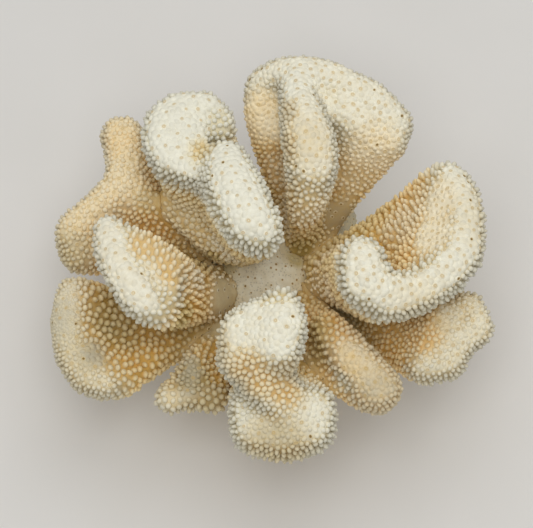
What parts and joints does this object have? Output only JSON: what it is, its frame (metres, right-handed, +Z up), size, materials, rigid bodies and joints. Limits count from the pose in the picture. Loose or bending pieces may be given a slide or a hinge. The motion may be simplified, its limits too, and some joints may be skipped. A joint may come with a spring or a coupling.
{
  "type": "cauliflower coral",
  "caption": "Bleached cauliflower coral colony: flattened, folded branches covered in warts fan out from a short trunk that is cut flat underneath.",
  "frame": {"origin": "on the flat cut under the foot, below the middle of the trunk", "axes": "+Z up along the trunk, out of the cut; +X to the viewer's right and -Y towards the viewer, who looks down on the branches"},
  "size_m": [0.1471, 0.1377, 0.1005],
  "materials": {
    "trunk_skeleton": "matt olive-cream aragonite, smooth between the branches",
    "inner_curl_skeleton": "matt chalky white aragonite with tan flanks",
    "back_trident_skeleton": "matt chalky aragonite, greyish white ridge and peach-tan lobes",
    "right_curl_skeleton": "matt chalky white aragonite with tan flanks",
    "front_saddle_skeleton": "matt chalky white aragonite with a tan waist",
    "left_wedge_skeleton": "matt chalky white aragonite with a peach root",
    "left_fork_skeleton": "matt tan aragonite",
    "left_cup_skeleton": "matt tan aragonite with a grey-cream rim",
    "small_fork_skeleton": "matt tan aragonite with cream tips",
    "front_finger_skeleton": "matt tan aragonite",
    "right_fan_skeleton": "matt cream aragonite"
  },
  "bodies": {
    "root": {"trunk_and_foot": "trunk_skeleton", "branch_inner_curl": "inner_curl_skeleton", "branch_back_trident": "back_trident_skeleton", "branch_right_curl": "right_curl_skeleton", "branch_front_saddle": "front_saddle_skeleton", "branch_left_wedge": "left_wedge_skeleton", "branch_left_fork": "left_fork_skeleton", "branch_left_cup": "left_cup_skeleton", "branch_small_fork": "small_fork_skeleton", "branch_front_finger": "front_finger_skeleton", "branch_right_fan": "right_fan_skeleton"}
  },
  "joints": []
}
